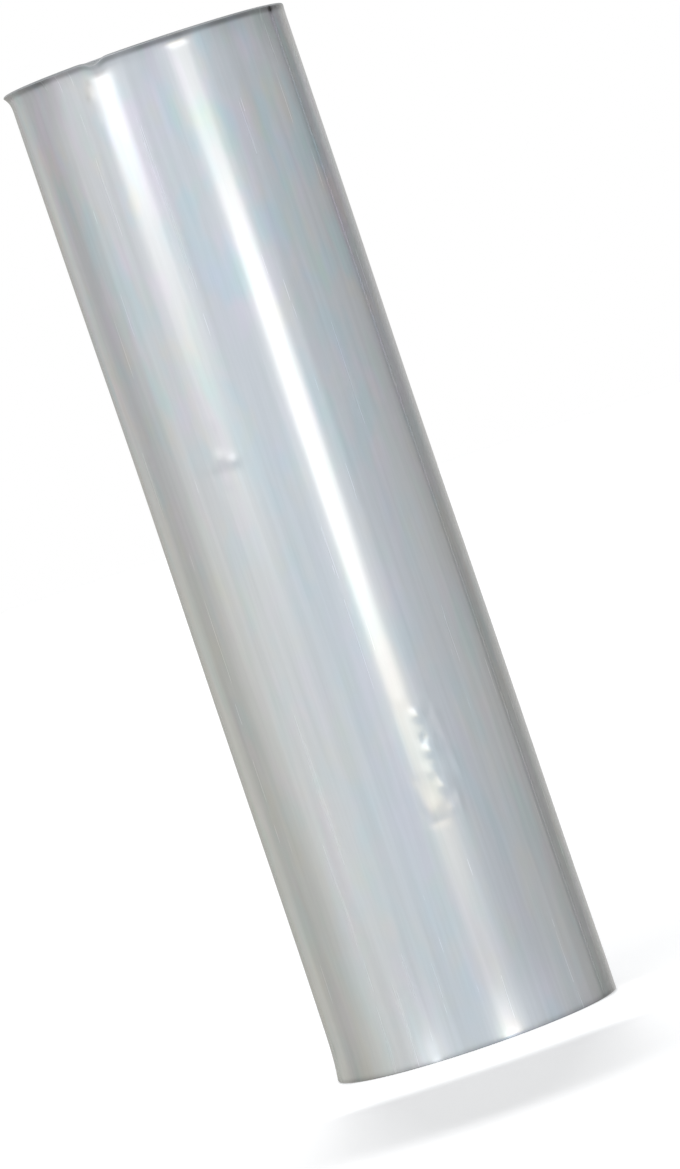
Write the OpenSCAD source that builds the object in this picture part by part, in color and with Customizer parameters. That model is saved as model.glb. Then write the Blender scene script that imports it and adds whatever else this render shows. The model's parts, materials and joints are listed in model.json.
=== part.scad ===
// A roll of clear polyethylene film, wound on a paper core and standing on its end.
// The origin is the middle of the bottom end, and +Z runs up along the roll's axis.
// The front of the roll faces -Y. Azimuths are counted from +X towards +Y.

/* [Wound film] */
// Width of the film, which is the height of the roll on its end
film_width = 450; // [300:5:600]
// Diameter of the wound film at its middle
roll_dia = 125; // [112:1:180]
// How much the radius shrinks at the waist
waist_depth = 0.5; // [0:0.1:1.5]
// Distance of the waist from the top end
waist_from_top = 180; // [80:5:240]
// Half the length of the waist
waist_reach = 70; // [30:5:100]
// How much the radius grows towards the bottom end
foot_swell = 0.4; // [0:0.1:1.5]
// How far up the swell at the bottom end reaches
foot_reach = 60; // [30:5:100]

/* [Loose tail] */
// Height of the step where the outermost turn ends
tail_lift = 0.4; // [0.2:0.1:1.2]
// Azimuth of the straight edge of the tail
tail_azimuth = -26; // [-180:1:180]

/* [Turns on the ends] */
// Radial distance from one visible turn to the next
turn_pitch = 1.4; // [1:0.1:3]
// Depth of the groove between two turns
turn_relief = 0.5; // [0.3:0.1:1]
// How much the edges of the turns differ in height
turn_stagger = 0.2; // [0:0.1:0.2]

/* [Rims] */
// Radial width of the smooth band of turns inside the root of each flare
rim_band = 2; // [1:0.5:4]
// Radius of the rounded outer edge of each rim
rim_round = 0.8; // [0.3:0.1:1.5]
// How far the top rim stands out past the side
top_flare = 1.3; // [0.5:0.1:3]
// Length of the top flare along the roll
top_flare_length = 7; // [4:0.5:20]
// How far the top rim is pushed towards -X
top_shift = 0.9; // [0:0.1:1.5]
// How far the bottom rim stands out past the side
bottom_flare = 1.1; // [0.5:0.1:3]
// Length of the bottom flare along the roll
bottom_flare_length = 13; // [4:0.5:20]
// How far the bottom rim is pushed towards -X
bottom_shift = 0.6; // [0:0.1:1.5]

/* [Nick in the top rim] */
// Width of the nick along the rim
nick_width = 8.6; // [4:0.2:16]
// Depth of the nick
nick_depth = 1.8; // [0.6:0.1:3]
// Azimuth of the nick
nick_azimuth = -111; // [-180:1:180]

/* [Core tube] */
// Inside diameter of the core, which fits a spindle of 3 inches
core_bore = 76.2; // [50:0.1:80]
// Wall thickness of the core
core_wall = 4; // [2:0.5:8]
// How far each end of the core lies inside the end of the film
core_inset = 1; // [0:0.5:10]
// Chamfer on the four edges of the core
core_chamfer = 0.6; // [0.2:0.1:0.9]
// Gap between the core and the first turn of film
winding_gap = 0.05; // [0.02:0.01:0.3]

/* [Hidden] */
$fn = 96;
roll_r = roll_dia / 2;
core_r = core_bore / 2;
core_outer_r = core_r + core_wall;
film_bore_r = core_outer_r + winding_gap;
// The outermost turn starts half a step outside the mean radius and ends half a step inside it
start_r = roll_r + tail_lift / 2;
waist_z = film_width - waist_from_top;
// Straight pieces that stand for the curves of the side, the flares and the rounded edges
side_rings = 16;
flare_rings = 5;
round_rings = 4;
// Solids that are joined run this far into each other
overlap = 1;
// The root of a flare starts this far inside the side of the roll
root_depth = 0.3;
nick_r = (pow(nick_width / 2, 2) + pow(nick_depth, 2)) / (2 * nick_depth);

// Change of the film's radius at height z: a waist above the middle and a swell at the bottom
function side_shift(z) =
    foot_swell * exp(-2 * pow(z / foot_reach, 2))
    - waist_depth * exp(-pow((z - waist_z) / waist_reach, 2));

// Radius at which a rim that is pushed aside by shift leaves the side of the roll
function rim_root_r(shift) = roll_r - tail_lift / 2 - shift - root_depth;
function rim_inner_r(shift) = rim_root_r(shift) - rim_band;

// Centre of quarter turn q of a spiral that closes in by one pitch each turn.
// The four centres are the corners of a square with a side of a quarter of the pitch, so each
// quarter's arc runs on into the next one with no corner.
function quarter_centre(q, pitch) =
    pitch / 8 * [q < 2 ? 1 : -1, q == 1 || q == 2 ? 1 : -1, 0];

// Sweeps a profile once around the axis along a spiral, each quarter turn as a true arc
module spiral_turn(pitch) {
    for (q = [0:3])
        translate(quarter_centre(q, pitch))
            rotate([0, 0, 90 * q])
                rotate_extrude(angle = 90)
                    translate([-pitch / 4 * q, 0]) {
                        $quarter = q;
                        children();
                    }
}

// Half section of the film between the turns of its two ends
module side_profile() {
    low = turn_relief + overlap;
    high = film_width - turn_relief - overlap;
    heights = [for (i = [0:side_rings]) low + (high - low) * i / side_rings];
    polygon(concat(
        [[film_bore_r - overlap, low]],
        [for (z = heights) [start_r + side_shift(z), z]],
        [[film_bore_r - overlap, high]]
    ));
}

// Height of the edge of one visible turn, which differs a little from quarter to quarter
function turn_height(k) =
    turn_relief - turn_stagger * round(1 + sin(29 * (4 * k + $quarter))) / 2;

// Section of the visible turns: a sawtooth between two flat strips, one beside the core and one
// that runs under the band of a rim that is pushed aside by shift
module turns_profile(shift) {
    first_r = film_bore_r + turn_pitch;
    room = rim_inner_r(shift) - shift - turn_pitch / 4 - first_r;
    count = floor(room / turn_pitch);
    outer_r = rim_inner_r(shift) + turn_pitch + overlap;
    polygon(concat(
        [[film_bore_r - overlap, -2 * overlap], [film_bore_r - overlap, 0]],
        [for (k = [0:count - 1], tip = [false, true])
            [first_r + (tip ? k + 1 : k) * turn_pitch, tip ? turn_height(k) : 0]],
        [[first_r + count * turn_pitch, 0], [outer_r, 0], [outer_r, -2 * overlap]]
    ));
}

// Section of a rim: a band that curves out from the side of the roll and has a rounded edge
module rim_profile(flare, reach, shift) {
    root_r = rim_root_r(shift);
    edge_r = roll_r + flare;
    edge_z = reach - rim_round;
    polygon(concat(
        [[rim_inner_r(shift), 0]],
        [for (i = [0:flare_rings])
            let (u = i / flare_rings) [root_r + (edge_r - root_r) * u * u, edge_z * u]],
        [for (i = [1:round_rings])
            let (a = 90 * i / round_rings)
            [edge_r - rim_round * (1 - cos(a)), edge_z + rim_round * sin(a)]],
        [[rim_inner_r(shift), reach]]
    ));
}

// One end of the roll, with z = 0 in the plane of its rim and the film below it
module roll_end(flare, reach, shift) {
    translate([0, 0, -turn_relief])
        rotate([0, 0, tail_azimuth])
            spiral_turn(turn_pitch)
                turns_profile(shift);
    translate([-shift, 0, -reach])
        rotate_extrude()
            rim_profile(flare, reach, shift);
}

// A round-bottomed dent across the top rim
module nick() {
    rotate([0, 0, nick_azimuth])
        translate([rim_inner_r(top_shift) - overlap, 0, film_width + nick_r - nick_depth])
            rotate([0, 90, 0])
                cylinder(r = nick_r, h = rim_band + top_flare + 10);
}

module film_roll() {
    color([0.80, 0.84, 0.87])
    difference() {
        union() {
            rotate([0, 0, tail_azimuth])
                spiral_turn(tail_lift)
                    side_profile();
            translate([0, 0, film_width])
                roll_end(top_flare, top_flare_length, top_shift);
            mirror([0, 0, 1])
                roll_end(bottom_flare, bottom_flare_length, bottom_shift);
        }
        translate([0, 0, -overlap])
            cylinder(r = film_bore_r, h = film_width + 2 * overlap);
        nick();
    }
}

module core_tube() {
    length = film_width - 2 * core_inset;
    color([0.72, 0.60, 0.45])
    translate([0, 0, core_inset])
        rotate_extrude()
            polygon([
                [core_r + core_chamfer, 0],
                [core_outer_r - core_chamfer, 0],
                [core_outer_r, core_chamfer],
                [core_outer_r, length - core_chamfer],
                [core_outer_r - core_chamfer, length],
                [core_r + core_chamfer, length],
                [core_r, length - core_chamfer],
                [core_r, core_chamfer]
            ]);
}

film_roll();
core_tube();
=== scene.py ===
"""The looks of a roll of clear polyethylene film that stands on its end.

Lengths are in metres. Angles round the roll are counted from the front, which faces -Y, and are
positive towards the right-hand side, +X.
"""
import json
import math

import bpy
import numpy as np
from mathutils import Matrix, Vector


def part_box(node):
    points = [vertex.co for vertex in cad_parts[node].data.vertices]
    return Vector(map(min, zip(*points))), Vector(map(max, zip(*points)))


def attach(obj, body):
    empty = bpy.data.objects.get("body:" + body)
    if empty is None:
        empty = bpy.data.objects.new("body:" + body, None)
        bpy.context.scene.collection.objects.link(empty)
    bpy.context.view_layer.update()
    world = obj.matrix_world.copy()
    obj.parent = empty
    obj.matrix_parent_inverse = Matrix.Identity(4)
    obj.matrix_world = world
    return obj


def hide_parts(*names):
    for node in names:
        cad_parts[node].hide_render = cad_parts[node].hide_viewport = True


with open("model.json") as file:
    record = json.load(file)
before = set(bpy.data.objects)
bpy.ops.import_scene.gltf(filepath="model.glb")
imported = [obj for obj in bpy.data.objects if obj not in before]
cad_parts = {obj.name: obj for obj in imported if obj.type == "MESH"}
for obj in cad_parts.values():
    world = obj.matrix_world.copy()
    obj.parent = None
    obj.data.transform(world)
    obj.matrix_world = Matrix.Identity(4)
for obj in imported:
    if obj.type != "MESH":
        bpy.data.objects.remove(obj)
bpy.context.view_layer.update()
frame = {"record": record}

film_low, film_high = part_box("film_roll")
core_low, core_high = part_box("core_tube")

# Sizes of the roll, as the part has them

MM = 0.001
TOP_FLARE = 1.3 * MM
TOP_REACH = 8 * MM
TOP_SHIFT = 0.9 * MM
BOTTOM_FLARE = 1.1 * MM
BOTTOM_REACH = 24 * MM
BOTTOM_SHIFT = 0.6 * MM
RIM_BAND = 2 * MM
RIM_ROUND = 0.8 * MM
ROOT_DEPTH = 0.3 * MM
TAIL_LIFT = 0.4 * MM
TAIL_ANGLE = math.radians(64)
TURN_PITCH = 1.4 * MM
TURN_RELIEF = 0.5 * MM
WAIST_DEPTH = 0.5 * MM
WAIST_FROM_TOP = 180 * MM
WAIST_REACH = 70 * MM
FOOT_SWELL = 0.4 * MM
FOOT_REACH = 60 * MM
NICK_WIDTH = 8.6 * MM
NICK_DEPTH = 1.8 * MM
NICK_ANGLE = math.radians(-21)

HEIGHT = film_high[2] - film_low[2]
ROLL_R = (film_high[1] - film_low[1]) / 2 - TOP_FLARE
CORE_OUTER_R = (core_high[0] - core_low[0]) / 2
CORE_BORE_R = frame["record"]["mounts"][0]["dims"]["r_mm"] * MM
FILM_BORE_R = CORE_OUTER_R + 0.05 * MM
START_R = ROLL_R + TAIL_LIFT / 2
WAIST_Z = HEIGHT - WAIST_FROM_TOP

# Spans of the mesh's columns: first and last angle from the front, in degrees, and how many. They
# start and end at the tail's edge, and the columns are close together where the puckers are.
COLUMN_SPANS = [(64, 327, 205), (327, 391, 98), (391, 424, 25)]


def smooth_step(x):
    """0 below 0, 1 above 1, and a smooth climb between."""
    x = np.clip(x, 0.0, 1.0)
    return x * x * (3 - 2 * x)


def bump(x, y, centre, size, lean=0.0):
    """A round-topped hill of height 1 at centre, with half widths size. lean slants it to the right."""
    u = (x - centre[0] - lean * (y - centre[1])) / size[0]
    v = (y - centre[1]) / size[1]
    return np.exp(-(u * u + v * v))


def turned(angle):
    """angle, brought to within half a turn of the front."""
    return (angle + math.pi) % (2 * math.pi) - math.pi


def across_front(angle):
    """Distance along the surface from the front, in millimetres, positive towards the right."""
    return turned(angle) * ROLL_R / MM


# Shape of the side of the roll

def side_radius(turn, z):
    """Radius of the outermost turn. turn runs from 0 to 1 from the tail's edge round to it again."""
    swell = FOOT_SWELL * np.exp(-2 * (z / FOOT_REACH) ** 2)
    waist = WAIST_DEPTH * np.exp(-((z - WAIST_Z) / WAIST_REACH) ** 2)
    return START_R - TAIL_LIFT * turn + swell - waist


def flare_rise(angle, side, depth, flare, length, shift, power):
    """How far a rim stands out past the side at depth below the end of the roll."""
    u = np.clip((length - depth) / (length - RIM_ROUND), 0.0, 1.0)
    return (ROLL_R + flare - shift * np.sin(angle) - side) * u ** power


# Puckers beside the main reflection, and last a dent at the left of the base: distance to the right
# along the surface, height above the base, half width, half height, lean and rise, all in
# millimetres but the lean
PUCKERS = [
    (19.6, 142.6, 2.8, 3.0, -0.25, 0.28), (20.2, 126.6, 3.1, 3.2, -0.25, 0.32),
    (20.8, 110.6, 3.0, 3.4, -0.25, 0.31), (17.4, 118.0, 3.0, 3.4, -0.30, 0.12),
    (18.6, 132.4, 1.7, 1.7, 0.00, -0.14), (25.2, 132.0, 1.6, 2.6, 0.00, -0.12),
    (25.6, 144.6, 1.6, 2.6, 0.00, -0.12), (21.6, 100.8, 2.2, 2.8, 0.20, 0.14),
    (14.2, 103.6, 4.6, 4.4, 0.00, 0.10), (13.2, 97.0, 5.5, 1.6, 0.00, -0.05),
    (9.4, 115.8, 1.6, 2.4, 0.00, -0.06), (8.2, 101.6, 1.3, 2.4, 0.00, -0.07),
    (12.0, 101.0, 1.2, 2.6, 0.00, 0.05), (14.5, 151.0, 3.4, 4.0, -0.10, 0.05),
    (27.4, 138.0, 1.9, 7.5, -0.12, 0.20), (29.4, 118.0, 2.0, 7.0, -0.15, 0.21),
    (25.2, 103.0, 1.7, 5.5, 0.05, 0.20), (-81.5, 15.0, 1.6, 5.0, 0.00, -0.10),
]
# A small blister under the outermost turn with a dent below it, and lesser ones near it and near
# the top, with the same numbers
BLISTERS = [
    (-28.4, 272.6, 5.2, 3.2, 0.0, 0.21), (-35.0, 269.2, 3.4, 3.4, 0.0, 0.22),
    (-20.8, 269.8, 2.6, 2.4, 0.0, 0.23), (-30.0, 266.0, 5.0, 3.0, 0.0, -0.07),
    (-32.5, 258.5, 1.2, 7.0, -0.10, 0.04), (-24.0, 289.0, 2.4, 2.0, 0.0, 0.05),
    (-35.5, 284.5, 3.0, 3.0, 0.0, 0.06), (-27.5, 257.5, 2.0, 2.0, 0.0, -0.06),
    (-30.0, 436.8, 2.4, 2.8, 0.0, 0.10), (-31.0, 425.0, 2.6, 3.0, 0.0, 0.06),
    (-27.0, 418.0, 3.0, 5.0, 0.0, 0.05),
]
# Spots of painted shade and painted highlights, with the same numbers but darkness in place of rise.
# Painted highlights are negative.
PAINTED_LIGHT_SPOTS = [
    (-28.6, 441.4, 1.0, 1.2, 0.0, 0.22), (-30.8, 435.2, 1.0, 1.5, 0.0, 0.20),
    (-83.4, 14.5, 1.2, 3.6, 0.0, 0.45), (-29.5, 268.2, 5.5, 1.9, 0.0, 0.12),
    (-21.0, 4.0, 4.6, 9.0, 0.0, -0.42), (-20.0, 1.0, 2.0, 1.6, 0.0, -0.40),
    (-21.5, 8.0, 12.0, 22.0, 0.0, -0.28), (-26.0, 95.0, 9.0, 60.0, 0.0, -0.09),
    (13.9, 1.4, 3.4, 2.2, 0.0, -0.45), (13.6, 9.0, 5.0, 15.0, 0.0, -0.42),
    (30.0, 5.0, 24.0, 20.0, 0.0, -0.27), (82.0, 8.0, 5.0, 14.0, 0.0, 0.40),
    (-50.0, 90.0, 6.0, 60.0, 0.0, 0.14), (-50.0, 441.0, 6.0, 13.0, 0.0, 0.24),
    (-54.0, 260.0, 4.0, 90.0, 0.0, 0.07), (61.0, 444.0, 8.0, 13.0, 0.0, 0.25),
    (38.0, 446.0, 10.0, 7.0, 0.0, 0.12), (-1.0, 442.0, 4.0, 10.0, 0.0, 0.12),
    (82.0, 405.0, 5.0, 32.0, 0.0, -0.35), (-76.0, 385.0, 5.0, 45.0, 0.0, -0.15),
]
# Long shallow waves that run along the roll, as tight film has over uneven turns below: how many
# there are round the roll, their height in millimetres, and where they start
WAVES = [(7, 0.030, 0.4), (13, 0.018, 1.9), (29, 0.008, 3.3), (53, 0.004, 5.0)]


def relief(angle, z):
    """Small departures of the outermost turn from a smooth roll."""
    across = across_front(angle)
    up = z / MM
    rise = np.zeros(np.broadcast(across, up).shape)
    for x, y, half_x, half_y, lean, height in PUCKERS + BLISTERS:
        rise = rise + height * bump(across, up, (x, y), (half_x, half_y), lean)
    # The waves wander a little to the sides on their way up
    drift = 0.35 * np.sin(up / 61 + 0.7) + 0.25 * np.sin(up / 37 + 2.1)
    for count, height, phase in WAVES:
        rise = rise + height * np.sin(count * turned(angle) + phase + drift)
    return rise * MM


def nick_drop(angle, radius):
    """How far the nick lowers the top rim at an angle."""
    across = np.sin(turned(angle - NICK_ANGLE)) * radius
    drop = NICK_DEPTH * np.exp(-(np.abs(across) / (0.44 * NICK_WIDTH)) ** 2.4)
    return drop * (np.cos(angle - NICK_ANGLE) > 0)


def side_levels():
    """Heights of the rows of the side, close together at the rims, the blister and the puckers."""
    spans = [
        (RIM_ROUND, 6 * MM, 10), (6 * MM, 26 * MM, 12),
        (26 * MM, 90 * MM, 8), (90 * MM, 156 * MM, 56),
        (156 * MM, 256 * MM, 10), (256 * MM, 280 * MM, 22), (280 * MM, 294 * MM, 7),
        (294 * MM, HEIGHT - 36 * MM, 10), (HEIGHT - 36 * MM, HEIGHT - 5 * MM, 22),
        (HEIGHT - 5 * MM, HEIGHT - RIM_ROUND, 12),
    ]
    levels = [np.linspace(a, b, n, endpoint=False) for a, b, n in spans]
    return np.concatenate(levels + [[HEIGHT - RIM_ROUND]])


# Mesh of the wound film

class Mesh:
    """Vertices and faces that are gathered piece by piece and then made into one object."""

    def __init__(self):
        self.points = []
        self.shades = []
        self.faces = []
        self.kinds = []

    def add_ring(self, angles, radii, heights, shade=0.0):
        """A row of points round the axis, and their numbers. shade is the painted shade of the surface
        there, and a painted highlight where it is negative.
        """
        x = radii * np.sin(angles)
        y = -radii * np.cos(angles)
        z = np.broadcast_to(heights, x.shape)
        first = len(self.points)
        self.points += list(zip(x.tolist(), y.tolist(), z.tolist()))
        self.shades += np.broadcast_to(shade, x.shape).tolist()
        return list(range(first, len(self.points)))

    def add_face(self, corners, kind=0):
        self.faces.append(corners)
        self.kinds.append(kind)

    def add_band(self, low, high, kind=0, flip=False):
        """Faces between two closed rings with as many points each."""
        count = len(low)
        for j in range(count):
            k = (j + 1) % count
            corners = (low[j], low[k], high[k], high[j])
            self.add_face(corners[::-1] if flip else corners, kind)

    def make(self, name, materials, smooth_angle):
        data = bpy.data.meshes.new(name)
        data.from_pydata(self.points, [], self.faces)
        for material in materials:
            data.materials.append(material)
        data.polygons.foreach_set("material_index", self.kinds)
        data.polygons.foreach_set("use_smooth", [True] * len(self.faces))
        # The shade attribute carries painted shade, and painted highlights where it is negative
        shade = data.attributes.new("shade", "FLOAT", "POINT")
        shade.data.foreach_set("value", self.shades)
        data.update()
        data.set_sharp_from_angle(angle=smooth_angle)
        piece = bpy.data.objects.new(name, data)
        bpy.context.scene.collection.objects.link(piece)
        return piece


SIDE, EDGE = 0, 1


def column_angles():
    """Angle of each column of the mesh, from the tail's edge round to just before it again."""
    spans = [np.linspace(a, b, n, endpoint=False) for a, b, n in COLUMN_SPANS]
    return np.radians(np.concatenate(spans))


# Gaps in the painted shade line along the bottom rim, where highlights fall, and the painted shade in
# the
# corner of the tail at the top rim: distance to the right, distance from the end, half width and half
# height, all in millimetres
FOOT_SHADE_GAPS = [(13.0, 1.0, 3.2, 2.0), (-21.0, 1.0, 2.4, 2.0)]
TAIL_CORNER_SHADE = (TAIL_ANGLE * ROLL_R / MM, 2.6, 2.0, 1.6)


def painted_rim_shade(angle, depth, up):
    """How dark the side is at depth below an end: partly the edges of the turns that show through,
    partly painted shade, darker towards the sides and in the tail's corner.
    """
    across = across_front(angle)
    down = depth / MM
    uneven = 1 + 0.15 * np.sin(3 * angle + 1) + 0.10 * np.sin(11 * angle)
    uneven = uneven + 0.07 * np.sin(23 * angle + 2)
    sideways = np.sin(angle) ** 2
    if up < 0:
        gaps = sum(bump(across, down, gap[:2], gap[2:]) for gap in FOOT_SHADE_GAPS)
        line = np.exp(-((down - 0.7) / 1.2) ** 2)
        return (0.36 + 0.22 * sideways) * uneven * (1 - 0.8 * gaps) * line
    nick = np.exp(-(turned(angle - NICK_ANGLE) / 0.06) ** 2)
    line = np.exp(-(np.abs(down - 1.6) / 1.45) ** 2.6)
    soft = 0.13 * np.exp(-((down - 1.5) / 5) ** 2)
    tail = 0.6 * bump(across, down, TAIL_CORNER_SHADE[:2], TAIL_CORNER_SHADE[2:])
    return (0.70 + 0.24 * sideways) * (1 - 0.55 * nick) * uneven * line + soft + tail


# Rows across one visible turn: share of the pitch, and share of the turn's height
TOOTH = ((0.0, 0.0), (0.35, 0.45), (0.72, 0.9), (0.95, 1.0))


def turn_height(place):
    """Height of a visible turn's edge at a place counted in turns along the spiral."""
    wave = 0.5 + 0.25 * np.sin(5.1 * place) + 0.15 * np.sin(13.7 * place + 1)
    wave = wave + 0.1 * np.sin(31.3 * place + 2)
    return TURN_RELIEF * (0.55 + 0.45 * wave)


def add_turns(mesh, angles, turn, rim_ring, bore_ring, rim_inner_r, shift, level, up):
    """The turns of one end: a spiral sawtooth between the rim's inner ring and the bore's ring.

    level is the height of the valleys between the turns, and up is 1 on the top end, -1 below.
    """
    count = len(angles)
    steps = len(TOOTH)
    first_r = FILM_BORE_R + 1.15 * TURN_PITCH
    turns = int((rim_inner_r - shift - TURN_PITCH / 4 - first_r) / TURN_PITCH)
    flip = up < 0

    def row_points(row, places):
        """Radius and height of one row of the spiral, at places counted in turns round it."""
        lap, step = divmod(row, steps)
        share, rise = TOOTH[step]
        along = places - lap
        ends = smooth_step((along + turns) / 0.06) * smooth_step((1 - along) / 0.06)
        radius = first_r + TURN_PITCH * (lap + share - places)
        wander = 0.06 * MM * np.sin(9.3 * along) * np.sin(math.pi * (lap + share - places) / turns)
        return radius + wander, level + up * rise * turn_height(along) * ends

    def put(corners, kind=EDGE):
        mesh.add_face(corners if not flip else corners[::-1], kind)

    rows = [mesh.add_ring(angles, *row_points(row, turn)) for row in range(turns * steps + 1)]
    # The spiral's inner end, where its first lap has come round once more
    inner_end = []
    for row in range(steps):
        radius, height = row_points(row, np.array([1.0]))
        inner_end += mesh.add_ring(angles[:1], radius, height)
    for low, high, row in zip(rows, rows[1:], range(len(rows))):
        for j in range(count - 1):
            put((low[j], high[j], high[j + 1], low[j + 1]))
        before = rows[row - steps][0] if row >= steps else inner_end[row]
        after = rows[row + 1 - steps][0] if row + 1 >= steps else inner_end[row + 1]
        put((low[-1], high[-1], after, before))
    for j in range(count - 1):
        put((rows[-1][j], rim_ring[j], rim_ring[j + 1], rows[-1][j + 1]))
        if j > 0:
            put((bore_ring[j], rows[0][j], rows[0][j + 1], bore_ring[j + 1]))
    last = [rows[k][0] for k in range(len(rows) - 1 - steps, len(rows))]
    put((rows[-1][-1], rim_ring[-1], rim_ring[0], *last[::-1]))
    put((bore_ring[-1], rows[0][-1], inner_end[0], bore_ring[0]))
    put((bore_ring[0], *inner_end, rows[0][0], rows[0][1], bore_ring[1]))


# Painted shade on the step along the tail's edge
TAIL_STEP_PAINTED_SHADE = 0.2
# Steps round the edge of each rim
RIM_STEPS = 4


def build_film(materials):
    """The wound film: side, rims, the turns of both ends and the bore, as one closed mesh."""
    mesh = Mesh()
    angles = column_angles()
    turn = (angles - TAIL_ANGLE) / (2 * math.pi)
    columns = len(angles)
    levels = side_levels()

    def side_point(angle, place, z):
        side = side_radius(place, z)
        top = flare_rise(angle, side, HEIGHT - z, TOP_FLARE, TOP_REACH, TOP_SHIFT, 2.8)
        foot = flare_rise(angle, side, z, BOTTOM_FLARE, BOTTOM_REACH, BOTTOM_SHIFT, 2.7)
        return side + top + foot + relief(angle, z)

    def top_level(angle, radius, z):
        """z, lowered where the nick is. The rows just under the rim crowd together there."""
        near = smooth_step((z - (HEIGHT - 12 * MM)) / (12 * MM))
        return z - nick_drop(angle, radius) * near

    # Painted shade along the rims and in spots, and painted highlights where it is negative
    def painted_shade_at(angle, z):
        shade = painted_rim_shade(angle, HEIGHT - z, 1) + painted_rim_shade(angle, z, -1)
        # Spots of painted shade, and painted highlights where the darkness is negative
        for x, y, half_x, half_y, lean, painted_darkness in PAINTED_LIGHT_SPOTS:
            shade = shade + painted_darkness * bump(across_front(angle), z / MM, (x, y), (half_x, half_y), lean)
        return shade

    # Painted shade: the step along the tail's edge is darker than the film on its two sides
    step = np.zeros(columns)
    step[[0, -1]] = TAIL_STEP_PAINTED_SHADE
    rings = []
    for z in levels:
        radius = side_point(angles, turn, z)
        level = top_level(angles, radius, z)
        rings.append(mesh.add_ring(angles, radius, level, painted_shade_at(angles, z) + step))
    # The tail: each row comes round a little further in, and the step between is its edge
    inner = []
    for z in levels:
        radius = side_point(angles[:1], np.array([1.0]), z)
        level = top_level(angles[:1], radius, z)
        inner += mesh.add_ring(angles[:1], radius, level, painted_shade_at(angles[:1], z) + step[:1])
    for i in range(len(levels) - 1):
        low, high = rings[i], rings[i + 1]
        for j in range(columns - 1):
            mesh.add_face((low[j], low[j + 1], high[j + 1], high[j]), SIDE)
        mesh.add_face((low[-1], inner[i], inner[i + 1], high[-1]), SIDE)
        mesh.add_face((inner[i], low[0], high[0], inner[i + 1]), SIDE)

    for up in (1, -1):
        shift = TOP_SHIFT if up > 0 else BOTTOM_SHIFT
        end = HEIGHT if up > 0 else 0.0
        ring = rings[-1] if up > 0 else rings[0]
        step_point = inner[-1] if up > 0 else inner[0]
        kind = EDGE if up > 0 else SIDE
        start = side_point(angles, turn, levels[-1] if up > 0 else levels[0])

        def rim_height(radius, z):
            return z - nick_drop(angles, radius) if up > 0 else np.full(radius.shape, z)

        for i in range(1, RIM_STEPS + 1):
            a = math.radians(90 * i / RIM_STEPS)
            radius = start - RIM_ROUND * (1 - math.cos(a))
            z = end - up * RIM_ROUND * (1 - math.sin(a))
            new = mesh.add_ring(angles, radius, rim_height(radius, z), painted_shade_at(angles, z))
            if i == 1:
                # The first ring closes the small step of the tail
                for j in range(columns - 1):
                    corners = (ring[j], ring[j + 1], new[j + 1], new[j])
                    mesh.add_face(corners if up > 0 else corners[::-1], kind)
                corners = (ring[-1], step_point, ring[0], new[0], new[-1])
                mesh.add_face(corners if up > 0 else corners[::-1], kind)
            else:
                mesh.add_band(ring, new, kind, flip=up < 0)
            ring = new
        rim_inner_r = ROLL_R - TAIL_LIFT / 2 - shift - ROOT_DEPTH - RIM_BAND
        radius = rim_inner_r - shift * np.sin(angles)
        level = end - up * TURN_RELIEF
        for part in (0.35, 0.7, 1.0):
            between = start - RIM_ROUND + (radius - start + RIM_ROUND) * part
            z = rim_height(between, end)
            new = mesh.add_ring(angles, between, z)
            mesh.add_band(ring, new, EDGE, flip=up < 0)
            ring = new
        foot_ring = mesh.add_ring(angles, radius - 0.1 * MM, np.minimum(z, level) if up > 0 else level)
        mesh.add_band(ring, foot_ring, EDGE, flip=up < 0)
        bore_ring = mesh.add_ring(angles, np.full(columns, FILM_BORE_R), level)
        add_turns(mesh, angles, turn, foot_ring, bore_ring, rim_inner_r, shift, level, up)
        if up > 0:
            top_bore = bore_ring
        else:
            mesh.add_band(top_bore, bore_ring, EDGE)
    return mesh.make("wound_film", materials, math.radians(50))


# Shape and mesh of the core

SEAM_PITCH = 128 * MM
CORE_ROWS = 220
CORE_COLUMNS = 144
CORE_EDGE = 0.6 * MM
# Seams on the bore: place in turns, width and depth
SEAMS = [(0.0, 1.1 * MM, 0.22 * MM), (0.37, 1.0 * MM, 0.08 * MM)]
# Unevenness of the tube's ends: height of the fuzz, and how deep every other ply lies
FUZZ = 0.05 * MM
PLY_STEP = 0.06 * MM


def seam_depth(angle, z, offset, width, depth):
    """Depth of the helical seam between two turns of paper."""
    phase = (z / SEAM_PITCH - angle / (2 * math.pi) + offset) % 1.0
    away = np.minimum(phase, 1 - phase) * SEAM_PITCH
    return depth * np.exp(-(away / width) ** 2)


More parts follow.
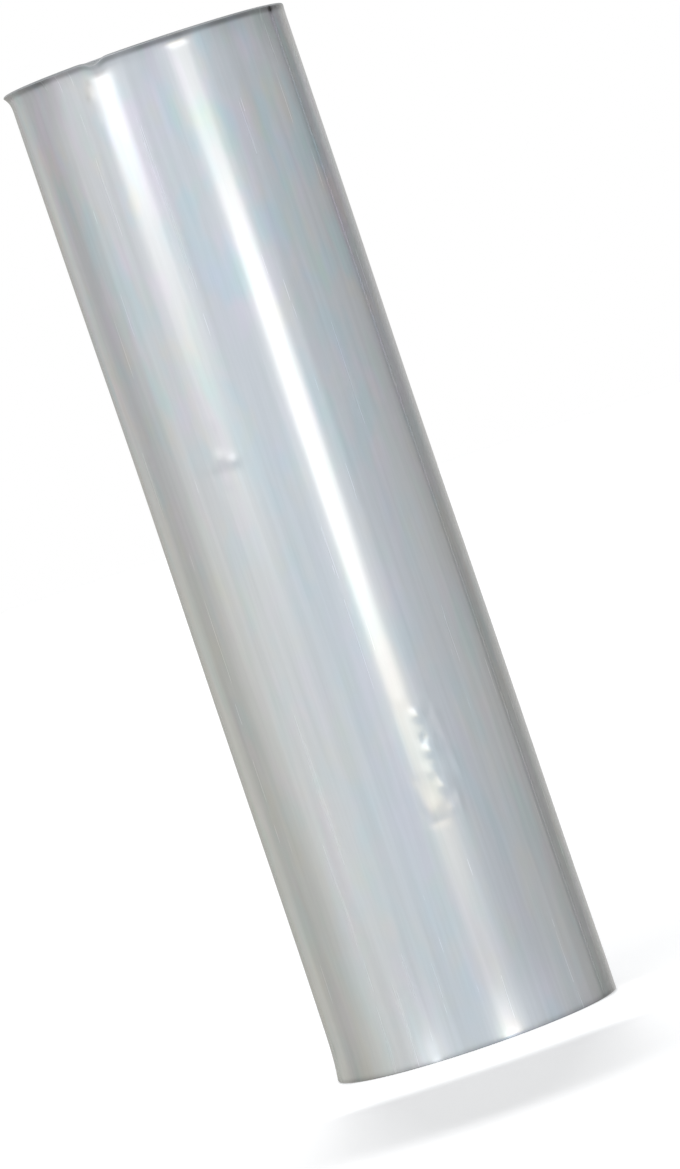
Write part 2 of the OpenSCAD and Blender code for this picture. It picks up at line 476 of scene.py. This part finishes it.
def build_core(material):
    """The core: a tube of paper wound in a helix, with a seam that shows on its bore."""
    mesh = Mesh()
    angles = 2 * math.pi * np.arange(CORE_COLUMNS) / CORE_COLUMNS
    low, high = core_low[2], core_high[2]

    def fuzz(place):
        return FUZZ * (np.sin(17 * angles + 3 * place) + np.sin(41 * angles + 7 * place))

    def bore_ring(z):
        deep = sum(seam_depth(angles, z, *seam) for seam in SEAMS)
        return mesh.add_ring(angles, CORE_BORE_R + deep, z)

    def outer_ring(z):
        return mesh.add_ring(angles, np.full(CORE_COLUMNS, CORE_OUTER_R), z)

    profile = []
    for z in np.linspace(high - CORE_EDGE, low + CORE_EDGE, CORE_ROWS):
        profile.append(bore_ring(z))
    for end, up in ((low, -1), (high, 1)):
        radii = np.linspace(CORE_BORE_R + CORE_EDGE, CORE_OUTER_R - CORE_EDGE, 7)
        if up > 0:
            radii = radii[::-1]
            profile.append(outer_ring(high - CORE_EDGE))
        for i, radius in enumerate(radii):
            ply = PLY_STEP * (i % 2)
            z = end - up * (ply + np.abs(fuzz(i)) * 0.6)
            profile.append(mesh.add_ring(angles, np.full(CORE_COLUMNS, radius), z))
        if up < 0:
            profile.append(outer_ring(low + CORE_EDGE))
    for i in range(len(profile)):
        mesh.add_band(profile[i - 1], profile[i])
    return mesh.make("core_paper_tube", [material], math.radians(35))


# Materials

def new_material(name):
    """A new material with no nodes, and its node tree."""
    material = bpy.data.materials.new(name)
    material.use_nodes = True
    tree = material.node_tree
    tree.nodes.clear()
    return material, tree


def node(tree, kind, **values):
    """A new node. values are its properties."""
    made = tree.nodes.new(kind)
    for key, value in values.items():
        setattr(made, key, value)
    return made


def math_node(tree, operation, first, second=None, third=None):
    """The output of a Math node, whose inputs are numbers or outputs of other nodes."""
    made = node(tree, "ShaderNodeMath", operation=operation)
    for socket, value in zip(made.inputs, (first, second, third)):
        if isinstance(value, (int, float)):
            socket.default_value = value
        elif value is not None:
            tree.links.new(value, socket)
    return made.outputs[0]


def object_place(tree):
    """The place on an object, in metres."""
    return node(tree, "ShaderNodeTexCoord").outputs["Object"]


def separated(tree, vector):
    """A vector's X, Y and Z."""
    made = node(tree, "ShaderNodeSeparateXYZ")
    tree.links.new(vector, made.inputs[0])
    return made.outputs


def combined(tree, **parts):
    """A vector from its X, Y and Z, where a part that isn't given is 0."""
    made = node(tree, "ShaderNodeCombineXYZ")
    for axis, value in parts.items():
        tree.links.new(value, made.inputs[axis])
    return made.outputs[0]


def roll_coordinates(tree, round_scale, along_scale):
    """Place on the roll: round it on a circle of radius round_scale, and along it times along_scale."""
    split = separated(tree, object_place(tree))
    unit = node(tree, "ShaderNodeVectorMath", operation="NORMALIZE")
    tree.links.new(combined(tree, X=split["X"], Y=split["Y"]), unit.inputs[0])
    circle = node(tree, "ShaderNodeVectorMath", operation="SCALE")
    circle.inputs["Scale"].default_value = round_scale
    tree.links.new(unit.outputs[0], circle.inputs[0])
    along = combined(tree, Z=math_node(tree, "MULTIPLY", split["Z"], along_scale))
    total = node(tree, "ShaderNodeVectorMath", operation="ADD")
    tree.links.new(circle.outputs[0], total.inputs[0])
    tree.links.new(along, total.inputs[1])
    return total.outputs[0]


def noise(tree, vector, scale, detail=3.0, roughness=0.5):
    made = node(tree, "ShaderNodeTexNoise")
    made.inputs["Scale"].default_value = scale
    made.inputs["Detail"].default_value = detail
    made.inputs["Roughness"].default_value = roughness
    tree.links.new(vector, made.inputs["Vector"])
    return made.outputs["Fac"]


def ramp(tree, factor, stops):
    """A colour ramp. stops are pairs of a place and a colour of three or one numbers."""
    made = node(tree, "ShaderNodeValToRGB")
    elements = made.color_ramp.elements
    while len(elements) < len(stops):
        elements.new(0.5)
    for element, (place, colour) in zip(elements, stops):
        element.position = place
        values = colour if isinstance(colour, tuple) else (colour,) * 3
        element.color = (*values, 1.0)
    tree.links.new(factor, made.inputs["Fac"])
    return made.outputs["Color"]


def mix_colour(tree, factor, first, second, blend="MIX"):
    """The output of a colour mix, whose inputs are numbers, colours or outputs of other nodes."""
    made = node(tree, "ShaderNodeMix", data_type="RGBA", blend_type=blend)
    for socket, value in ((made.inputs[0], factor), (made.inputs[6], first), (made.inputs[7], second)):
        if isinstance(value, (int, float)):
            socket.default_value = value
        elif isinstance(value, tuple):
            socket.default_value = (*value, 1.0)
        else:
            tree.links.new(value, socket)
    return made.outputs[2]


def bump_node(tree, height, strength, distance, normal=None):
    made = node(tree, "ShaderNodeBump")
    made.inputs["Strength"].default_value = strength
    made.inputs["Distance"].default_value = distance
    tree.links.new(height, made.inputs["Height"])
    if normal is not None:
        tree.links.new(normal, made.inputs["Normal"])
    return made.outputs["Normal"]


def shader(tree, colour, normal, roughness, **fixed):
    """A Principled shader. fixed gives sockets that are the same all over."""
    made = node(tree, "ShaderNodeBsdfPrincipled")
    for name, value in fixed.items():
        made.inputs[name.replace("_", " ")].default_value = value
    tree.links.new(colour, made.inputs["Base Color"])
    if isinstance(roughness, float):
        made.inputs["Roughness"].default_value = roughness
    else:
        tree.links.new(roughness, made.inputs["Roughness"])
    tree.links.new(normal, made.inputs["Normal"])
    output = node(tree, "ShaderNodeOutputMaterial")
    tree.links.new(made.outputs["BSDF"], output.inputs["Surface"])
    return made


# Colour of the film across the roll, from its left side at 0 to its right side at 1
LOWER_TINT = [
    (0.00, (0.576, 0.580, 0.544)), (0.24, (0.558, 0.580, 0.590)), (0.47, (0.520, 0.580, 0.636)),
    (0.76, (0.540, 0.580, 0.634)), (1.00, (0.574, 0.580, 0.574)),
]
UPPER_TINT = [
    (0.00, (0.572, 0.580, 0.604)), (0.24, (0.553, 0.580, 0.612)), (0.47, (0.532, 0.580, 0.636)),
    (0.76, (0.538, 0.580, 0.634)), (1.00, (0.562, 0.580, 0.606)),
]
# How much of the film's colour a painted shade of 1 takes away. Negative shade paints highlights.
PAINTED_SHADE_DEPTH = 0.66
# Faint colours in the film: tint, how wide and long its patches are, and its share of the surface
TINTS = [
    ((0.885, 1.01, 1.03), (4.6, 32.0), (0.50, 0.66)),
    ((1.055, 0.985, 1.05), (5.4, 36.0), (0.50, 0.68)),
    ((1.05, 1.01, 0.94), (5.0, 40.0), (0.54, 0.70)),
    ((0.94, 1.025, 0.975), (6.0, 38.0), (0.55, 0.71)),
]


def film_side_material():
    """Tight clear film in many turns: silvery, with faint patches of colour that run along the roll."""
    material, tree = new_material("film_side")
    split = separated(tree, object_place(tree))
    across_roll = math_node(tree, "MULTIPLY_ADD", split["X"], 0.5 / ROLL_R, 0.5)
    share_up = math_node(tree, "DIVIDE", split["Z"], HEIGHT)
    colour = mix_colour(tree, ramp(tree, share_up, [(0.48, 0.0), (0.66, 1.0)]),
                        ramp(tree, across_roll, LOWER_TINT), ramp(tree, across_roll, UPPER_TINT))
    # The patches are strongest near the top
    upper = ramp(tree, share_up, [(0.50, 0.5), (0.80, 1.0)])
    for number, (tint, (across, along), (low, high)) in enumerate(TINTS):
        moved = node(tree, "ShaderNodeVectorMath", operation="ADD")
        tree.links.new(roll_coordinates(tree, across, along), moved.inputs[0])
        moved.inputs[1].default_value = (11.3 * number, 4.7 * number, 7.9 * number)
        patch = ramp(tree, noise(tree, moved.outputs[0], 1.0, 1.6, 0.55), [(low, 0.0), (high, 1.0)])
        patch = mix_colour(tree, 1.0, patch, upper, "MULTIPLY")
        colour = mix_colour(tree, patch, colour, mix_colour(tree, 1.0, colour, tint, "MULTIPLY"))
    lines = noise(tree, roll_coordinates(tree, 17.0, 8.0), 1.0, 3.0, 0.6)
    streak = ramp(tree, lines, [(0.3, 0.935), (0.7, 1.045)])
    colour = mix_colour(tree, 1.0, colour, streak, "MULTIPLY")
    # Painted shade and painted highlights: the mesh's shade darkens the film along the rims, at the
    # tail's step and in spots, and lightens it where negative
    shade = node(tree, "ShaderNodeAttribute", attribute_name="shade").outputs["Fac"]
    painted_light = math_node(tree, "MULTIPLY_ADD", shade, -PAINTED_SHADE_DEPTH, 1.0)
    colour = mix_colour(tree, 1.0, colour, painted_light, "MULTIPLY")
    waves = noise(tree, roll_coordinates(tree, 17.0, 8.0), 1.0, 0.5, 0.4)
    fine = noise(tree, roll_coordinates(tree, 42.0, 8.0), 1.0, 0.0, 0.4)
    normal = bump_node(tree, waves, 0.10, 0.0004)
    normal = bump_node(tree, fine, 0.05, 0.0001, normal)
    rough = math_node(tree, "MULTIPLY_ADD", lines, 0.08, 0.22)
    shader(
        tree, colour, normal, rough,
        Metallic=0.24, Coat_Weight=1.0, Coat_Roughness=0.06, Coat_IOR=1.5,
    )
    return material


def film_edge_material():
    """The cut edges of the film: dull, greyer and a little cloudy, with fine rings."""
    material, tree = new_material("film_edge")
    place = object_place(tree)
    split = separated(tree, place)
    length = node(tree, "ShaderNodeVectorMath", operation="LENGTH")
    tree.links.new(combined(tree, X=split["X"], Y=split["Y"]), length.inputs[0])
    # The rings follow the radius, and change slowly on their way round
    ring = combined(
        tree,
        X=math_node(tree, "MULTIPLY", length.outputs["Value"], 4200.0),
        Y=math_node(tree, "MULTIPLY", split["X"], 12.0),
        Z=math_node(tree, "MULTIPLY", split["Y"], 12.0),
    )
    rings = noise(tree, ring, 1.0, 3.0, 0.6)
    clouds = noise(tree, place, 40.0, 3.0, 0.5)
    tone = ramp(tree, rings, [(0.28, (0.25, 0.27, 0.285)), (0.72, (0.54, 0.56, 0.58))])
    haze = ramp(tree, clouds, [(0.3, 0.86), (0.7, 1.06)])
    colour = mix_colour(tree, 1.0, tone, haze, "MULTIPLY")
    normal = bump_node(tree, rings, 0.35, 0.0003)
    shader(tree, colour, normal, 0.38, Metallic=0.10, Coat_Weight=0.35, Coat_Roughness=0.18)
    return material


def core_material():
    """Brown paper board: fibres and a soft seam along the helix."""
    material, tree = new_material("core_paper")
    place = object_place(tree)
    split = separated(tree, place)
    fibres = noise(tree, roll_coordinates(tree, 55.0, 900.0), 1.0, 4.0, 0.65)
    blotches = noise(tree, place, 55.0, 3.0, 0.55)
    base = ramp(tree, blotches, [(0.25, (0.36, 0.255, 0.155)), (0.75, (0.47, 0.345, 0.22))])
    grain = ramp(tree, fibres, [(0.25, 0.82), (0.75, 1.12)])
    colour = mix_colour(tree, 1.0, base, grain, "MULTIPLY")
    forward = math_node(tree, "MULTIPLY", split["Y"], -1.0)
    turn = math_node(tree, "DIVIDE", math_node(tree, "ARCTAN2", split["X"], forward), 2 * math.pi)
    climb = math_node(tree, "DIVIDE", split["Z"], SEAM_PITCH)
    phase = math_node(tree, "FRACT", math_node(tree, "SUBTRACT", climb, turn))
    away = math_node(tree, "ABSOLUTE", math_node(tree, "SUBTRACT", phase, 0.5))
    beside = math_node(tree, "SUBTRACT", 0.5, away)
    seam = math_node(tree, "SMOOTH_MIN", math_node(tree, "MULTIPLY", beside, 60.0), 1.0)
    shade = ramp(tree, seam, [(0.0, 0.45), (1.0, 1.0)])
    colour = mix_colour(tree, 1.0, colour, shade, "MULTIPLY")
    normal = bump_node(tree, fibres, 0.35, 0.0003)
    shader(tree, colour, normal, 0.78, Specular_IOR_Level=0.25)
    return material


# Stage, lights and camera

FLOOR_SIZE = 30.0
WORLD_FILL = 0.42
FLOOR_ALBEDO = 0.80
# The floor lies a hair below the roll's bottom end
FLOOR_LEVEL = -0.0002
# Brightness of an unshaded floor, which is just past white
FLOOR_WHITE = 1.05
# Painted light on the floor: how much brighter the floor shows close to the front of the base, which
# takes away the roll's
# shadow there, and where that fades in: from the first distance from the roll's axis to the second, and
# from the first Y to the second
PAINTED_BASE_GLOW = 0.40
GLOW_REACH = (0.166, 0.128)
GLOW_START = (0.02, -0.05)
# Soft lamps: angle from the front, height and spread in degrees, and the radiance that each gives a
# white surface facing it. The two behind the roll make its shadow.
SUNS = {
    "key": (-22, 12, 70, 0.55),
    "back_left": (176.2, 58, 5.5, 0.22),
    "back_right": (182.6, 58, 5.5, 0.22),
}


def white_rays(tree):
    """1 for rays from the camera, in a reflection or through glass, which see the plain white."""
    path = node(tree, "ShaderNodeLightPath")
    total = math_node(tree, "ADD", path.outputs["Is Camera Ray"], path.outputs["Is Glossy Ray"])
    total = math_node(tree, "ADD", total, path.outputs["Is Transmission Ray"])
    return math_node(tree, "MINIMUM", total, 1.0)


def build_world():
    """White behind the object, and a softer fill from all sides."""
    world = bpy.data.worlds.new("studio")
    world.use_nodes = True
    tree = world.node_tree
    tree.nodes.clear()
    strength = math_node(tree, "MULTIPLY_ADD", white_rays(tree), 1.0 - WORLD_FILL, WORLD_FILL)
    background = node(tree, "ShaderNodeBackground")
    background.inputs["Color"].default_value = (1, 1, 1, 1)
    tree.links.new(strength, background.inputs["Strength"])
    output = node(tree, "ShaderNodeOutputWorld")
    tree.links.new(background.outputs[0], output.inputs["Surface"])
    bpy.context.scene.world = world


def fade(tree, value, start, end):
    """A smooth climb from 0 where value is start to 1 where it is end."""
    made = node(tree, "ShaderNodeMapRange", interpolation_type="SMOOTHSTEP")
    for name, number in (("From Min", start), ("From Max", end), ("To Min", 0.0), ("To Max", 1.0)):
        made.inputs[name].default_value = number
    tree.links.new(value, made.inputs["Value"])
    return made.outputs[0]


def painted_base_glow(tree):
    """Painted light: 1 on the floor close to the front of the roll, where the photo has no shadow, 0
    elsewhere.
    """
    place = object_place(tree)
    split = separated(tree, place)
    reach = node(tree, "ShaderNodeVectorMath", operation="LENGTH")
    tree.links.new(place, reach.inputs[0])
    near = fade(tree, reach.outputs["Value"], *GLOW_REACH)
    return math_node(tree, "MULTIPLY", near, fade(tree, split["Y"], *GLOW_START))


def build_floor(lamp_light):
    """A pale floor that looks white where nothing shades it. lamp_light is what the lamps add."""
    data = bpy.data.meshes.new("floor")
    half = FLOOR_SIZE / 2
    corners = [(-half, -half), (half, -half), (half, half), (-half, half)]
    data.from_pydata([(x, y, FLOOR_LEVEL) for x, y in corners], [], [(0, 1, 2, 3)])
    floor = bpy.data.objects.new("floor", data)
    bpy.context.scene.collection.objects.link(floor)
    material, tree = new_material("floor_white")
    diffuse = node(tree, "ShaderNodeBsdfDiffuse")
    diffuse.inputs["Color"].default_value = (FLOOR_ALBEDO,) * 3 + (1,)
    glow = node(tree, "ShaderNodeEmission")
    # A trace of blue, which only shows in the shadow
    glow.inputs["Color"].default_value = (0.965, 0.98, 1.0, 1)
    lit = FLOOR_ALBEDO * (WORLD_FILL + lamp_light)
    # Painted light that takes away the roll's shadow close to the front of its base
    painted_glow = math_node(tree, "MULTIPLY", painted_base_glow(tree), PAINTED_BASE_GLOW)
    plain = math_node(tree, "ADD", painted_glow, FLOOR_WHITE - lit)
    tree.links.new(math_node(tree, "MULTIPLY", white_rays(tree), plain), glow.inputs["Strength"])
    both = node(tree, "ShaderNodeAddShader")
    tree.links.new(diffuse.outputs[0], both.inputs[0])
    tree.links.new(glow.outputs[0], both.inputs[1])
    output = node(tree, "ShaderNodeOutputMaterial")
    tree.links.new(both.outputs[0], output.inputs["Surface"])
    data.materials.append(material)
    # Low on the roll, reflections carry on to the walls and strips as they do higher up
    floor.visible_glossy = False


def toward(angle, height):
    """Unit vector from the roll to a light at an angle from the front and a height, in degrees."""
    a, e = math.radians(angle), math.radians(height)
    return Vector((math.sin(a) * math.cos(e), -math.cos(a) * math.cos(e), math.sin(e)))


def add_sun(name, angle, height, spread, share):
    """A far soft lamp. share is the radiance that it gives a white surface facing it.

    It doesn't show in reflections, which the strips and walls make. Returns what it adds to the floor.
    """
    data = bpy.data.lights.new(name, "SUN")
    data.energy = share * math.pi
    data.angle = math.radians(spread)
    lamp = bpy.data.objects.new(name, data)
    lamp.rotation_euler = toward(angle, height).to_track_quat("Z", "Y").to_euler()
    lamp.visible_glossy = False
    lamp.visible_camera = False
    bpy.context.scene.collection.objects.link(lamp)
    return share * math.sin(math.radians(height))


def add_reflector(name, distance, columns):
    """A curved light that shows only in reflections.

    columns run round the roll. Each is a list, from low to high, of angle, height and colour.
    """
    points = []
    colours = []
    for column in columns:
        for angle, height, colour in column:
            spot = toward(angle, 0) * distance
            points.append((spot.x, spot.y, height))
            colours += [*colour, 1.0]
    rows = len(columns[0])
    faces = [(i * rows + j, (i + 1) * rows + j, (i + 1) * rows + j + 1, i * rows + j + 1)
             for i in range(len(columns) - 1) for j in range(rows - 1)]
    data = bpy.data.meshes.new(name)
    data.from_pydata(points, [], faces)
    data.attributes.new("glow", "FLOAT_COLOR", "POINT").data.foreach_set("color", colours)
    card = bpy.data.objects.new(name, data)
    bpy.context.scene.collection.objects.link(card)
    material, tree = new_material(name + "_glow")
    level = node(tree, "ShaderNodeAttribute", attribute_name="glow")
    glow = node(tree, "ShaderNodeEmission")
    tree.links.new(level.outputs["Color"], glow.inputs["Color"])
    output = node(tree, "ShaderNodeOutputMaterial")
    tree.links.new(glow.outputs[0], output.inputs["Surface"])
    data.materials.append(material)
    card.visible_camera = False
    card.visible_diffuse = False
    card.visible_shadow = False


def add_strip(name, stops):
    """A tall narrow light far from the roll, with soft sides that fade to the white round it.

    stops give, from low to high, the height, strength, angle of the middle, half width in degrees
    and warmth of the light.
    """
    columns = []
    for x, share in ((-1, 0), (-0.75, 0.45), (-0.45, 1), (0, 1), (0.45, 1), (0.75, 0.45), (1, 0)):
        column = []
        for height, strength, middle, half, warmth in stops:
            light = (1 + 0.25 * warmth, 1.0, 1 - 0.35 * warmth)
            colour = [1 + (strength * part - 1) * share for part in light]
            column.append((middle + half * x, height, colour))
        columns.append(column)
    add_reflector(name, STRIP_DISTANCE, columns)


def add_wall(name, levels, colour):
    """A curved wall close to the roll. levels are pairs of an angle and a brightness."""
    add_reflector(name, WALL_DISTANCE, [
        [(angle, height, [level * part for part in colour]) for height in WALL_SPAN]
        for angle, level in levels
    ])


# The two strips of light in front: distance in metres, and stops as add_strip takes them
STRIP_DISTANCE = 1.5
MAIN_STRIP = [
    (-1.20, 1.0, 25.0, 11.0, 0.0), (-0.10, 0.85, 25.5, 11.0, 0.0), (-0.043, 1.05, 26.0, 11.0, 0.3),
    (-0.003, 1.3, 26.0, 12.0, 0.5), (0.014, 2.2, 26.2, 12.8, 1.0), (0.041, 2.3, 26.4, 12.6, 1.0),
    (0.10, 3.3, 24.8, 10.2, 0.9), (0.135, 4.3, 24.0, 9.4, 0.6), (0.174, 5.2, 23.6, 9.1, 0.3),
    (0.22, 6.2, 24.8, 10.2, 0.2), (0.335, 6.0, 25.8, 10.6, 0.2), (0.377, 5.0, 25.7, 10.2, 0.2),
    (0.416, 3.9, 26.0, 10.1, 0.3), (0.451, 3.1, 25.6, 10.4, 0.3), (0.49, 2.5, 25.4, 11.4, 0.3),
    (0.58, 2.4, 24.8, 11.8, 0.3), (0.75, 1.5, 24.0, 11.0, 0.3),
]
LEFT_STRIP = [
    (-1.20, 1.0, -38.0, 13.0, 0.0), (0.10, 0.8, -38.0, 13.0, 0.0), (0.174, 0.8, -38.0, 13.0, 0.0),
    (0.238, 1.3, -38.0, 17.0, 0.2), (0.335, 1.8, -38.0, 16.0, 0.3), (0.416, 2.35, -38.6, 12.5, 0.3),
    (0.451, 4.1, -39.2, 11.0, 0.2), (0.49, 5.8, -39.4, 10.8, 0.1), (0.52, 6.2, -37.6, 10.2, 0.1),
    (0.58, 6.0, -37.6, 10.4, 0.1), (0.65, 1.0, -38.0, 10.0, 0.0),
]
# Walls that the roll's sides mirror: distance, and bottom and top, in metres, and their brightness
# at angles from the front
WALL_DISTANCE = 0.45
WALL_SPAN = (-2.5, 2.0)
RIGHT_WALL = [(44, 0.85), (52, 0.72), (70, 0.68), (90, 0.62), (113, 0.44), (122, 0.17),
              (130, 0.20), (138, 0.34), (147, 0.52), (160, 0.56), (180, 0.50)]
LEFT_WALL = [(-76, 1.0), (-84, 0.85), (-92, 0.55), (-100, 0.34), (-110, 0.26), (-118, 0.30),
             (-126, 0.48), (-134, 0.62), (-144, 0.48), (-155, 0.42), (-180, 0.45)]


# Strips that lie too low for the photograph's level view, and show from higher and behind: angle of
# each, places across it, and its heights with their brightness
BACK_STRIPS = {"back_left_strip": 152, "back_right_strip": 214}
BACK_STRIP_DISTANCE = 3.0
BACK_STRIP_ACROSS = (-3, -1, 1, 3)
BACK_STRIP_STOPS = [(-4.0, 9.0), (-2.0, 9.0), (-0.55, 8.0), (-0.35, 1.0)]


def build_lights():
    """All lamps and reflectors. Returns what the lamps add to the floor."""
    floor_light = sum(add_sun(name, *numbers) for name, numbers in SUNS.items())
    add_strip("main_strip", MAIN_STRIP)
    add_strip("left_strip", LEFT_STRIP)
    for name, angle in BACK_STRIPS.items():
        add_reflector(name, BACK_STRIP_DISTANCE, [
            [(angle + x, height, [level] * 3) for height, level in BACK_STRIP_STOPS]
            for x in BACK_STRIP_ACROSS
        ])
    add_wall("right_wall", RIGHT_WALL, (1.0, 1.0, 0.98))
    add_wall("left_wall", LEFT_WALL, (1.0, 0.99, 0.93))
    return floor_light


LEAN = math.radians(18.73)
CAMERA_DISTANCE = 48 * ROLL_R
# How far the camera stands above the middle of the roll, which the two rims' curves show
CAMERA_RISE = 0.062
PHOTO_WIDTH, PHOTO_HEIGHT = 680, 1169
# Where the middle of the roll lies in the photograph, and how many pixels wide the roll is
ROLL_CENTRE_PX = (312.1, 542.8)
ROLL_WIDTH_PX = 288.8
SENSOR = 36.0


def build_camera():
    """A long lens that looks at the middle of the roll, turned so that the roll leans to the left."""
    data = bpy.data.cameras.new("camera")
    camera = bpy.data.objects.new("camera", data)
    bpy.context.scene.collection.objects.link(camera)
    back = Vector((0, -CAMERA_DISTANCE, CAMERA_RISE)).normalized()
    level = Vector((1, 0, 0))
    upright = back.cross(level)
    right = level * math.cos(LEAN) - upright * math.sin(LEAN)
    up = level * math.sin(LEAN) + upright * math.cos(LEAN)
    turn = Matrix((right, up, back)).transposed().to_4x4()
    place = Vector((0, -CAMERA_DISTANCE, HEIGHT / 2 + CAMERA_RISE))
    camera.matrix_world = Matrix.Translation(place) @ turn
    pixels_per_metre = ROLL_WIDTH_PX / (2 * ROLL_R)
    data.sensor_fit = "AUTO"
    data.sensor_width = SENSOR
    data.lens = SENSOR * pixels_per_metre * CAMERA_DISTANCE / PHOTO_HEIGHT
    data.shift_x = (PHOTO_WIDTH / 2 - ROLL_CENTRE_PX[0]) / PHOTO_HEIGHT
    data.shift_y = (ROLL_CENTRE_PX[1] - PHOTO_HEIGHT / 2) / PHOTO_HEIGHT
    data.clip_start = 0.05
    data.clip_end = 100.0
    bpy.context.scene.camera = camera


film = build_film([film_side_material(), film_edge_material()])
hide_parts("film_roll")
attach(film, "root")

core = build_core(core_material())
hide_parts("core_tube")
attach(core, "root")

build_world()
build_floor(build_lights())
build_camera()
bpy.context.scene.view_settings.view_transform = "Standard"
